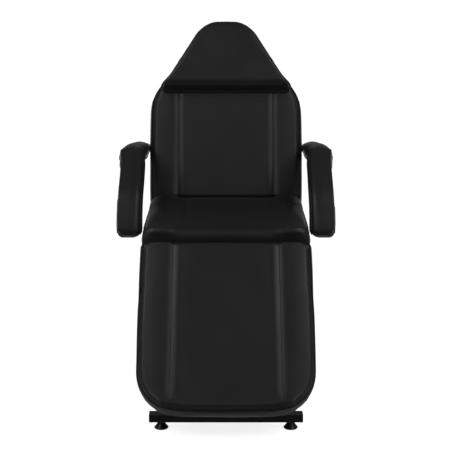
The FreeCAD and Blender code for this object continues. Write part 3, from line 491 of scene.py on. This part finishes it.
# Seat: softening, rise at its rear, run of its bolsters and welt, and gathers at its front corners
FRONT_ROUNDS, REAR_SOFTNESS, SOFT_REACH = 40, 0.6, 0.25
REAR_REACH, REAR_DEEP, REAR_RISE = 0.2, 0.04, 0.015
BOLSTER_SPAN, WELT_START = (0.04, 0.24), 0.06
GATHER_REACH, GATHER_DEPTH, GATHERS = 0.03, 0.0011, 17


def facing(piece):
    """How much of each point faces out of the panel."""
    return smooth_step(normals(piece)[:, 2], *CREASE_FACE)


def round_corners(piece, radius):
    """Take the flats out of a cushion's two foot corners."""
    places = points(piece)
    side = np.abs(places[:, 0])
    middle = np.array((side.max() - radius, places[:, 1].min() + radius))
    away = np.stack((side, places[:, 1]), 1) - middle
    far, turn = np.linalg.norm(away, axis=1), np.arctan2(-away[:, 1], away[:, 0])
    corner = (away[:, 0] > 0) & (away[:, 1] < 0)
    step = np.pi / 2 / CORNER_STEPS
    turns = (np.arange(CORNER_STEPS) + 0.5) * step
    outline = np.array([far[corner & (np.abs(turn - at) < step)].max() for at in turns])
    true = np.polyval(np.polyfit(turns, outline, CORNER_CURVE), turn)
    ease = smooth_step(turn, 0, CORNER_EASE) * smooth_step(np.pi / 2 - turn, 0, CORNER_EASE)
    rim = smooth_step(far / radius, *CORNER_RIM)
    grow = (true / np.interp(turn, turns, outline) - 1) * ease * rim * corner
    places[:, 0] += np.sign(places[:, 0]) * away[:, 0] * grow
    places[:, 1] += away[:, 1] * grow
    move_points(piece, places)


def channels(piece, span, style, sewn=True):
    """Fill the two long grooves, and sew them down again as slopes that meet in a seam."""
    middle, slope, depth, stitch, fade = style
    places, out, face = points(piece), lengthwise(piece), facing(piece)
    across, along = np.abs(places[:, 0]) - middle, places[:, 1]
    reach = smooth_step(along - span[0], 0, FADE) * smooth_step(span[1] - along, *fade)
    valley = np.clip(1 - np.abs(across) / slope, 0, 1) ** VALLEY_POWER
    valley += stitch * bell(across, STITCH_WIDTH)
    panel = (np.abs(normals(piece)[:, 0]) < SIDE_WALL) & (along < span[1] - FADE / 2)
    for side in (-1, 1):
        upper = (places[:, 0] * side > 0) & (out[:, 2] > FILLED_FACE[0]) & panel
        near = upper & (np.abs(across) < BRIDGE)
        rims = (upper & (np.abs(across - rim) < BRIDGE_BAND) for rim in (-BRIDGE, BRIDGE))
        inner, outer = (settle(places[near], out[near], places[rim]) for rim in rims)
        share = (across[near] + BRIDGE) / (2 * BRIDGE)
        filled = np.clip(inner + (outer - inner) * share, -GROOVE, GROOVE)
        filled *= smooth_step(out[near, 2], *FILLED_FACE)
        filled -= (depth * valley * reach * face)[near] * sewn
        places[near] += out[near] * filled[:, None]
    move_points(piece, places)


def crease(piece, marks):
    """Press soft creases into a panel: place, heading, length, width and depth of each, on both sides."""
    places, face = points(piece), facing(piece)
    dip = np.zeros(len(places))
    for x, y, heading, length, width, depth in marks:
        for side in (-1, 1):
            run = Vector((side * math.cos(heading), math.sin(heading)))
            away = places[:, :2] - np.array((side * x, y))
            along = away @ np.array(run)
            across = away @ np.array((-run.y, run.x))
            dip += depth * bell(along, length) * bell(across, width)
    places[:, 2] -= dip * face
    move_points(piece, places)


def wander(piece, slack):
    """Slow, slight waves over a cover."""
    scale, height = slack
    places = points(piece)
    waves = np.array([noise.noise(Vector(place) * scale) for place in places])
    move_points(piece, places + normals(piece) * (waves * height)[:, None])


def level(piece, line, top):
    """Stretch a panel flat up to the roll beside its seam."""
    places = points(piece)
    inside = smooth_step(nearest(places, points(line)), *PANEL_ROLL) * facing(piece)
    places[:, 2] += (top + PANEL_CROWN - places[:, 2]) * inside * FLATNESS
    move_points(piece, places)


def soften(piece, front):
    """Soften a cushion, most of all its front, where its bolsters and channels run out into one roll."""
    places = points(piece)
    near = 1 - REAR_SOFTNESS * smooth_step(places[:, 1] - front, 0, SOFT_REACH)
    kept = piece.vertex_groups.new(name="front")
    for number in np.flatnonzero(near > 0):
        kept.add([int(number)], near[number], "REPLACE")
    modify(piece, "SMOOTH", factor=SMOOTHING, iterations=FRONT_ROUNDS, vertex_group=kept.name)
    piece.vertex_groups.clear()


def lower_bolsters(piece, top, front):
    """Let the bolsters run out towards the front."""
    places = points(piece)
    near = (1 - smooth_step(places[:, 1] - front, *BOLSTER_SPAN)) * facing(piece)
    near *= smooth_step(np.abs(places[:, 0]), CHANNEL - BRIDGE, CHANNEL + BRIDGE)
    places[:, 2] -= np.maximum(places[:, 2] - top - PANEL_CROWN, 0) * near
    move_points(piece, places)


def raise_rear(piece, top, rear):
    """Let the filling well up towards the backrest."""
    places = points(piece)
    share = smooth_step(places[:, 1], rear - REAR_REACH, rear)
    share *= smooth_step(places[:, 2], top - REAR_DEEP, top)
    places[:, 2] += REAR_RISE * share
    move_points(piece, places)


def gather(piece, front, half):
    """Gathers round the two front corners, where the panel is drawn into the side wall."""
    places = points(piece)
    inward = half - GATHER_REACH - np.abs(places[:, 0])
    behind = places[:, 1] - front - GATHER_REACH
    turn = np.arctan2(-inward, -behind)
    near = smooth_step(-inward, 0, GATHER_REACH) * smooth_step(-behind, -GATHER_REACH, GATHER_REACH)
    folds = np.sin(turn * GATHERS) * GATHER_DEPTH * near
    move_points(piece, places + normals(piece) * folds[:, None])


def panel_cushion(name, body, place, top, span, style, marks=(), ahead=None, seam=SEAM, corner=0):
    """A boxed cushion: a sewn panel over a side wall, with a welt where they meet."""
    node = f"{name}_cushion"
    piece = remeshed(loose_copy(node, f"{name}_cover", place), VOXEL)
    if corner:
        round_corners(piece, corner)
    places, out = points(piece), normals(piece)
    base = places[:, 2].min()
    drop, tilt = seam
    height = top - drop + tilt * (places[:, 1] - places[:, 1].min())
    held = (places[:, 2] < base + VOXEL) | (np.abs(places[:, 2] - height) < VOXEL * HELD_BAND)
    held |= (np.abs(np.abs(places[:, 0]) - CHANNEL) < VOXEL) & (out[:, 2] > CREASE_FACE[0])
    fill(piece, held, PANEL_SWELL)
    modify(piece, "SUBSURF", levels=1, render_levels=1)
    channels(piece, span, style, sewn=False)
    line = seam_line(piece, f"{name}_welt", (0, places[:, 1].min(), top - drop), (0, -tilt, 1))
    if ahead is None:
        level(piece, line, top)
    channels(piece, span, style)
    if ahead is not None:
        lower_bolsters(piece, top, span[0])
        trim(line, ahead)
        soften(piece, span[0])
        raise_rear(piece, top, places[:, 1].max())
        gather(piece, span[0], np.abs(points(piece)[:, 0]).max())
    crease(piece, marks)
    wander(piece, PANEL_SLACK)
    press(piece, line, SEAM_DEPTH, SEAM_WIDTH)
    dress(piece, body, "leatherette", place)
    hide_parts(node)
    # The welt takes the darker finish: painted shade along the seam.
    dress(welt(line, WELT_RADIUS, WELT_SINK), body, "leatherette", place, WELT_PAINTED_SHADE)


seat_front, seat_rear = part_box("seat_cushion")[0].y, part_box("seat_cushion")[1].y
# Soft creases: place, heading, length, width and depth of each
SEAT_CREASES = ((0.238, seat_rear - 0.15, 0, 0.026, 0.009, 0.003),
                (0.18, seat_front + 0.05, -0.7, 0.016, 0.006, 0.0012),
                (0, seat_rear, 0, 0.5, 0.009, 0.004), (0, seat_rear - 0.1, 0, 1.0, 0.13, -0.0045))
BACK_CREASES = ((0, 0.036, 0, 0.5, 0.006, 0.0024),)
panel_cushion("seat", "lift", SEAT, SEAT_TOP, (seat_front, seat_rear + 2 * FADE), SEAT_CHANNEL, SEAT_CREASES,
              ahead=seat_front + WELT_START)
panel_cushion("back", "backrest", BACK, BACK_TOP, BACK_SPAN, BACK_CHANNEL, BACK_CREASES)
panel_cushion("leg", "legrest", LEG, LEG_TOP, LEG_SPAN, LEG_CHANNEL, seam=LEG_SEAM, corner=LEG_CORNER)


# Piping of the pillow: radius, height over the base, and how proud it stands before it sinks back
PIPING_RADIUS, PIPING_HEIGHT, PIPING_PROUD, SUNK = 0.0042, 0.006, 0.8, 1.9
PIPING_SPAN, PILLOW_STATIONS, PILLOW_FACE = (0.46, 0.52), 40, 0.9
PILLOW_ROLL, PILLOW_BASE = (0, 0.012), 0.008
PILLOW_SEAM_DEPTH, PILLOW_SEAM_WIDTH = 0.002, 0.004
PILLOW_CREASES = ((0.063, 0.68, 1.5, 0.02, 0.012, 0.0011), (0, 0.72, 0, 0.05, 0.012, 0.003))
# Lower face of the pillow: its height at the piping, and how far it leans back to its upper edge
LIP_HEIGHT, LIP_LEAN, LIP_EDGE = 0.008, 0.024, 0.052


def stand_off(line, piece, distance):
    """Move the piping's line off its surface, up to where it starts to sink back."""
    tree, places = lookup(points(piece)), points(line)
    under = [tree.find(place)[1] for place in places]
    share = 1 - SUNK * smooth_step(places[:, 1], *PIPING_SPAN)
    move_points(line, places + normals(piece)[under] * (distance * share)[:, None])


def shape_pillow(piece, line, base):
    """Stretch the pillow's panel straight across and lean its lower face back."""
    places, face = points(piece), facing(piece)
    middle = (np.abs(places[:, 0]) < BRIDGE) & (face > PILLOW_FACE)
    stations = np.linspace(places[middle, 1].min(), places[middle, 1].max(), PILLOW_STATIONS)
    share = bell(stations[:, None] - places[middle, 1], stations[1] - stations[0])
    panel = np.interp(places[:, 1], stations, share @ places[middle, 2] / share.sum(1))
    edge = points(line)
    inside = smooth_step(nearest(places * PLAN, edge * PLAN), *PILLOW_ROLL) * face
    places[:, 2] += (panel - places[:, 2]) * inside
    ahead = places[:, 1] - edge[:, 1].min()
    lip = base + LIP_HEIGHT + (LIP_EDGE - LIP_HEIGHT) * ahead / LIP_LEAN
    places[:, 2] = np.minimum(places[:, 2], np.maximum(lip, base + LIP_HEIGHT))
    move_points(piece, places)


def pillow():
    """The wedge head pillow, with piping round its base."""
    piece = remeshed(loose_copy("head_pillow", "pillow_cover", BACK), SMALL_VOXEL)
    places = points(piece)
    base = places[:, 2].min()
    fill(piece, places[:, 2] < base + PILLOW_BASE, SMALL_SWELL)
    modify(piece, "SUBSURF", levels=1, render_levels=1)
    line = seam_line(piece, "pillow_welt", (0, 0, base + PIPING_HEIGHT), UP)
    stand_off(line, piece, PIPING_RADIUS * PIPING_PROUD)
    shape_pillow(piece, line, base)
    crease(piece, PILLOW_CREASES)
    wander(piece, SMALL_SLACK)
    press(piece, line, PILLOW_SEAM_DEPTH, PILLOW_SEAM_WIDTH)
    dress(piece, "pillow", "leatherette", BACK)
    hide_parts("head_pillow")
    dress(welt(line, PIPING_RADIUS, 0), "pillow", "leatherette", BACK)


pillow()


# Flare of an armrest's outer edge: places behind its pivot, shares of the flare there, and its size
FLARE_PLACES = (-0.42, -0.365, -0.31, -0.275, -0.137, 0, 0.034)
FLARE_SHARES = (0, 0.12, 0.6, 1, 0.95, 0.7, 0)
FLARE = 0.012
# Inner wall of an arm pad, from its pivot, and the pad's width
ARM_WALL, ARM_WIDTH = 0.031, 0.092
# Space of the steel core inside: radius of its bush, half height and length of its bar
BUSH, BAR_HIGH, BAR_LONG = 0.0135, 0.0045, 0.1005
ARM_SMOOTHING, ARM_ROUNDS = 1.5, 6
ARM_WELT, ARM_SEAM_DEPTH, ARM_SEAM_WIDTH = 0.0017, 0.0022, 0.004
ARM_SEAMS = {"inner": 0.0025, "outer": ARM_WIDTH - 0.0075}
# Shape of an arm pad: its inner roll, the flat between its edges, its inner flare, and its rounded end
LEAN_WIDTH, LEAN_DEPTH, LEAN_FACE, LEAN_SPAN = 0.05, 0.012, (0, 0.8), (0.16, 0.27)
INNER_ROLL, OUTER_ROLL = (0.008, 0.026), (0.003, 0.012)
INNER_FLARE, INNER_SPAN = 0.006, (0.2, 0.33)
HUMP, HUMP_SPAN = 0.012, (0.1, 0.24)
FLAT_SPAN, ARM_CORNER = (0.27, 0.33), 0.028


def flared(places, sign, way):
    """Put an armrest's flare on or take it off."""
    moved = places.copy()
    moved[:, 0] += way * sign * FLARE * np.interp(places[:, 1], FLARE_PLACES, FLARE_SHARES)
    return moved


def flatten(piece, sign):
    """Stretch an arm pad's cover straight across, up to the rolls along its edges."""
    middle = sign * (ARM_WIDTH / 2 - ARM_WALL)
    profile = seam_line(piece, "profile", (middle, 0, 0), RIGHT)
    places, out = points(piece), lengthwise(piece)
    across = places[:, 0] * sign + ARM_WALL
    inside = smooth_step(across, *INNER_ROLL) * smooth_step(ARM_WIDTH - across, *OUTER_ROLL)
    inside *= smooth_step(-places[:, 1], *FLAT_SPAN)
    moved = settle(places, out, points(profile)) * inside
    front = smooth_step(out[:, 2] - out[:, 1], *LEAN_FACE) * (1 - normals(piece)[:, 0] ** 2)
    front *= smooth_step(-places[:, 1], *LEAN_SPAN)
    moved -= LEAN_DEPTH * np.clip(1 - across / LEAN_WIDTH, 0, 1) ** 2 * front
    places += out * moved[:, None]
    bpy.data.objects.remove(profile)
    inner = 1 - np.clip(across / ARM_WIDTH, 0, 1)
    places[:, 0] -= sign * INNER_FLARE * inner * smooth_step(-places[:, 1], *INNER_SPAN)
    hump = np.clip(-across / HUMP, 0, 1) * smooth_step(-places[:, 1], *HUMP_SPAN)
    places[:, 0] += sign * HUMP * hump
    deep = np.clip((places[:, 2].min() + ARM_CORNER - places[:, 2]) / ARM_CORNER, 0, 1)
    narrow = 2 * ARM_CORNER * (1 - np.sqrt(1 - deep ** 2)) / ARM_WIDTH
    places[:, 0] -= (places[:, 0] - middle) * narrow
    move_points(piece, places)


def arm_solid(hand, place):
    """A fine copy of an armrest's solid, closed over the space of its steel core."""
    piece = loose_copy(f"armrest_{hand}_pad", f"armrest_{hand}_cover", place)
    bpy.ops.object.mode_set(mode="EDIT")
    bpy.ops.mesh.select_all(action="DESELECT")
    bpy.ops.object.mode_set(mode="OBJECT")
    for face in piece.data.polygons:
        spot = face.center
        in_bush = math.hypot(spot.y, spot.z) < BUSH
        in_bar = abs(spot.z) < BAR_HIGH and -BAR_LONG < spot.y < 0 and abs(spot.x) < ARM_WALL
        face.select = in_bush or in_bar
    bpy.ops.object.mode_set(mode="EDIT")
    bpy.ops.mesh.delete(type="FACE")
    bpy.ops.mesh.select_all(action="SELECT")
    bpy.ops.mesh.fill_holes(sides=0)
    bpy.ops.object.mode_set(mode="OBJECT")
    remeshed(piece, SMALL_VOXEL)
    modify(piece, "LAPLACIANSMOOTH", lambda_factor=ARM_SMOOTHING, lambda_border=0, iterations=ARM_ROUNDS)
    return piece


def armrest(hand, sign):
    """A drooping arm pad between two side walls, with a welt along each edge."""
    place = Matrix.Translation(JOINTS[f"armrest_{hand}_swing"]["pos_m"])
    piece = arm_solid(hand, place)
    aside = points(piece)[:, 0] * sign
    fill(piece, np.abs(aside + ARM_WALL) < SMALL_VOXEL, SMALL_SWELL)
    modify(piece, "SUBSURF", levels=1, render_levels=1)
    wander(piece, SMALL_SLACK)
    move_points(piece, flared(points(piece), sign, -1))
    flatten(piece, sign)
    lines = [seam_line(piece, f"armrest_{hand}_{edge}_welt", (sign * (where - ARM_WALL), 0, 0), RIGHT)
             for edge, where in ARM_SEAMS.items()]
    for line in lines:
        press(piece, line, ARM_SEAM_DEPTH, ARM_SEAM_WIDTH)
    for item in (piece, *lines):
        move_points(item, flared(points(item), sign, 1))
    dress(piece, f"armrest_{hand}", "leatherette", place)
    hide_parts(f"armrest_{hand}_pad")
    for line in lines:
        dress(welt(line, ARM_WELT, 0), f"armrest_{hand}", "leatherette", place)


armrest("left", -1)
armrest("right", 1)


# Underneath: covers folded over the boards and stapled down, and caps on the hinge shafts


HEM_WIDTH, HEM_THICK, HEM_FACE, FLAT_ANGLE = 0.026, 0.0012, -0.9, 0.01
STAPLE_PITCH, STAPLE_INSET = 0.038, 0.018
STAPLE_LONG, STAPLE_WIDE, STAPLE_HIGH, STAPLE_EDGE = 0.011, 0.0013, 0.0008, 0.0002


def staple():
    """One flat staple crown with broken edges."""
    bpy.ops.object.select_all(action="DESELECT")
    bpy.ops.mesh.primitive_cube_add(size=1)
    piece = bpy.context.active_object
    piece.data.transform(Matrix.Diagonal((STAPLE_LONG, STAPLE_WIDE, STAPLE_HIGH, 1)))
    bpy.ops.object.mode_set(mode="EDIT")
    bpy.ops.mesh.select_all(action="SELECT")
    bpy.ops.mesh.bevel(offset=STAPLE_EDGE, affect="EDGES")
    bpy.ops.object.mode_set(mode="OBJECT")
    return piece


def staples(name, outline):
    """A row of staples just inside an outline."""
    first = staple()
    ends = np.roll(outline, -1, axis=0)
    runs = np.linalg.norm(ends - outline, axis=1)
    walked = np.concatenate(([0], np.cumsum(runs)))
    row = []
    for spot in np.arange(0, walked[-1], STAPLE_PITCH):
        number = np.searchsorted(walked, spot, side="right") - 1
        heading = Vector((ends[number] - outline[number]) / runs[number])
        place = Vector(outline[number]) + heading * (spot - walked[number])
        inward = heading.cross(Vector(UP)) * STAPLE_INSET
        copy = first.copy()
        copy.data = first.data.copy()
        turn = Matrix.Rotation(math.atan2(heading.y, heading.x), 4, "Z")
        copy.data.transform(Matrix.Translation(place + inward) @ turn)
        bpy.context.collection.objects.link(copy)
        row.append(copy)
    bpy.data.objects.remove(first)
    choose(*row)
    bpy.ops.object.join()
    rows = bpy.context.active_object
    rows.name = name
    return rows


def hem(board, name, body, place):
    """The edge of a cover, folded over the underside of its board and stapled."""
    piece = loose_copy(board, f"{name}_hem", place)
    bpy.ops.object.mode_set(mode="EDIT")
    bpy.ops.mesh.select_mode(type="FACE")
    bpy.ops.mesh.select_all(action="DESELECT")
    bpy.ops.object.mode_set(mode="OBJECT")
    for face in piece.data.polygons:
        face.select = face.normal.z > HEM_FACE
    bpy.ops.object.mode_set(mode="EDIT")
    bpy.ops.mesh.delete(type="FACE")
    bpy.ops.mesh.select_all(action="SELECT")
    bpy.ops.mesh.dissolve_limited(angle_limit=FLAT_ANGLE)
    bpy.ops.object.mode_set(mode="OBJECT")
    under = max(piece.data.polygons, key=lambda face: face.area)
    outline = points(piece)[list(under.vertices)]
    bpy.ops.object.mode_set(mode="EDIT")
    bpy.ops.mesh.select_all(action="SELECT")
    bpy.ops.mesh.inset(thickness=HEM_WIDTH)
    bpy.ops.mesh.delete(type="FACE")
    bpy.ops.mesh.select_mode(type="VERT")
    bpy.ops.object.mode_set(mode="OBJECT")
    modify(piece, "SOLIDIFY", thickness=HEM_THICK, offset=1)
    rows = staples(f"{name}_staples", outline)
    rows.data.transform(Matrix.Translation((0, 0, -HEM_THICK)))
    dress(piece, body, "leatherette", place)
    dress(rows, body, "zinc_steel", place)
    for item in (piece, rows):
        choose(item)
        bpy.ops.object.shade_flat()


hem("seat_board", "seat", "lift", SEAT)
hem("back_board", "back", "backrest", BACK)
hem("leg_board", "leg", "legrest", LEG)


CAP_PROUD, CAP_DEEP, CAP_ROUND, CAP_SIDES, CAP_STEPS = 0.0025, 0.004, 0.0018, 40, 4


def shaft_caps(node, body):
    """A push-on domed cap on each end of a hinge shaft."""
    low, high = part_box(node)
    radius = (high.z - low.z) / 2 + CAP_PROUD
    for hand, side, end in (("left", -1, low.x), ("right", 1, high.x)):
        bpy.ops.object.select_all(action="DESELECT")
        bpy.ops.mesh.primitive_cylinder_add(vertices=CAP_SIDES, radius=radius, depth=CAP_DEEP)
        piece = bpy.context.active_object
        piece.name = f"{node}_{hand}_cap"
        modify(piece, "BEVEL", width=CAP_ROUND, segments=CAP_STEPS, limit_method="ANGLE")
        middle = (end + side * CAP_DEEP / 2, (low.y + high.y) / 2, (low.z + high.z) / 2)
        lying = Matrix.Translation(middle) @ Matrix.Rotation(math.pi / 2, 4, "Y")
        dress(piece, body, "black_plastic", lying)


shaft_caps("back_hinge_shaft", "lift")
shaft_caps("leg_hinge_shaft", "lift")


# Studio: pale floor, soft light and the photograph's viewpoint


FLOOR_SIZE, APRON = 40, (0.8, 3.0)
# Where the room glows, by heading: behind the chair, low down behind it, to the sides, and below
BEHIND, FAR_FLOOR_TOP, FAR_FLOOR_FOOT = (-0.45, 0.1), (0.06, -0.08), (-0.5, -0.25)
BESIDE, BELOW = (0.45, 0.9), (-0.3, -0.6)
ROOM_GLOW, BEHIND_GLOW, FAR_FLOOR_GLOW, BESIDE_GLOW, BELOW_GLOW = 0.1, 0.08, 0.6, 0.1, 0.07
# Lamps: place, aim, size and power of each
LAMPS = {"left_front": ((-2.6, -3.4, 3.1), (0, 0, 0.8), 1.4, 37),
         "right_front": ((2.6, -3.4, 3.1), (0, 0, 0.8), 1.4, 37),
         "left_high": ((-1.5, -0.6, 2.9), (0, -0.3, 0.5), 0.9, 17),
         "right_high": ((1.5, -0.6, 2.9), (0, -0.3, 0.5), 0.9, 17),
         "front": ((0, -4.4, 3.0), (0, 0, 0.7), 2.2, 6)}
EYE, LOOK_DOWN, LENS, SENSOR = (0, -4.2456, 1.499), 12.26, 98.13, 36


def pale_floor():
    """A pale floor that runs out into the white behind."""
    bpy.ops.mesh.primitive_plane_add(size=FLOOR_SIZE, location=(0, 0, 0))
    floor = bpy.context.active_object
    floor.name = "floor"
    paint = Finish("floor_paint", Roughness=0.9, Specular_IOR_Level=0.1, Emission_Strength=1.0)
    away = paint.add("VectorMath", {"operation": "LENGTH"}, paint.place, output="Value")
    apron = paint.ramp(away, *APRON)
    paint.set(Base_Color=paint.mix(apron, grey(0.8), grey(0.2)),
              Emission_Color=paint.mix(apron, grey(0.82), grey(1.0)))
    coat(floor, paint)
    floor.visible_glossy = False


def room():
    """White to the camera, and a dim glow in all that the chair mirrors."""
    world = bpy.data.worlds.new("studio")
    bpy.context.scene.world = world
    sky = Shading(world, "Background", Color=grey(1))
    heading = sky.add("SeparateXYZ", None, sky.add("TexCoord"), output="Z").socket.node.outputs
    side, depth, height = (Wire(sky, heading[axis]) for axis in "XYZ")
    far_floor = sky.ramp(height, *FAR_FLOOR_TOP) * sky.ramp(height, *FAR_FLOOR_FOOT)
    behind = sky.ramp(depth, *BEHIND) * (BEHIND_GLOW + FAR_FLOOR_GLOW * far_floor)
    beside, below = sky.ramp(side * side, *BESIDE), sky.ramp(height, *BELOW)
    glow = ROOM_GLOW + behind + BESIDE_GLOW * beside + BELOW_GLOW * below
    seen = sky.add("LightPath", output="Is Camera Ray")
    sky.set(Strength=seen + (1 - seen) * glow)


def lamps():
    """Soft boxes in front and above."""
    for name, (place, aim, size, power) in LAMPS.items():
        lamp = bpy.data.lights.new(name, "AREA")
        lamp.size, lamp.energy = size, power
        holder = bpy.data.objects.new(name, lamp)
        holder.location = place
        holder.rotation_euler = (Vector(aim) - Vector(place)).to_track_quat("-Z", "Y").to_euler()
        bpy.context.collection.objects.link(holder)


def viewpoint():
    """The place that the photograph was taken from."""
    lens = bpy.data.cameras.new("viewpoint")
    lens.lens, lens.sensor_width = LENS, SENSOR
    camera = bpy.data.objects.new("viewpoint", lens)
    camera.location = EYE
    camera.rotation_euler = (math.radians(90 - LOOK_DOWN), 0, 0)
    bpy.context.collection.objects.link(camera)
    bpy.context.scene.camera = camera
    bpy.context.scene.view_settings.view_transform = "Standard"


pale_floor()
room()
lamps()
viewpoint()
